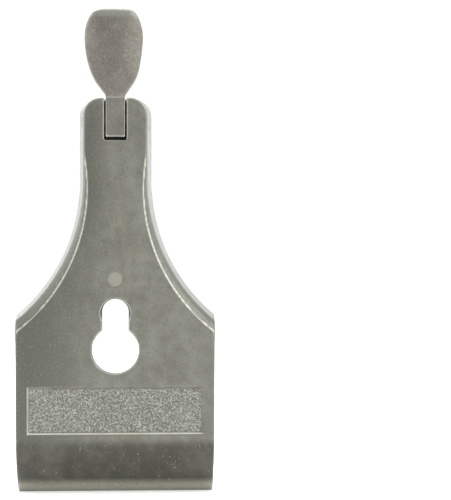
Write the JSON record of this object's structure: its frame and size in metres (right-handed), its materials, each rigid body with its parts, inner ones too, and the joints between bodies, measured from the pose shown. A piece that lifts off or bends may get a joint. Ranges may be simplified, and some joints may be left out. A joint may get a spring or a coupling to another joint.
{
  "type": "bench plane lever cap",
  "caption": "Cast-iron lever cap of a bench plane, with a keyhole, a cam thumb lever on a cross pin, and a riveted flat spring.",
  "frame": {"origin": "centre of the keyhole's narrow end on the flat front face, where the cap screw seats", "axes": "+X across the cap, +Y from the front face to the back, +Z along the cap from the nose edge to the lever"},
  "size_m": [0.05, 0.0114, 0.1218],
  "materials": {
    "cap_iron": "face ground and worn smooth, back as cast",
    "lever_iron": "tumbled malleable iron with a brown-grey patina",
    "pin_steel": "ground flush",
    "spring_steel": "bright spring steel with small rust specks",
    "rivet_steel": "bright, faced flat"
  },
  "bodies": {
    "cap": {"lever_cap_casting": "cap_iron", "lever_pivot_pin": "pin_steel", "spring_rivet": "rivet_steel"},
    "lever": {"cam_lever": "lever_iron"},
    "spring": {"flat_spring": "spring_steel"}
  },
  "joints": [
    {"name": "lever_pivot", "type": "hinge", "parent": "cap", "child": "lever", "pos_m": [0, 0.0032, 0.048], "axis": [1, 0, 0], "range_deg": [0, 90]},
    {"name": "spring_flex", "type": "hinge", "parent": "cap", "child": "spring", "pos_m": [0, 0.0073, 0.0082], "axis": [1, 0, 0], "range_deg": [0, 1.72]}
  ],
  "couplings": [
    {"joint": "spring_flex", "follows": "lever_pivot", "ratio": 0.0189}
  ]
}
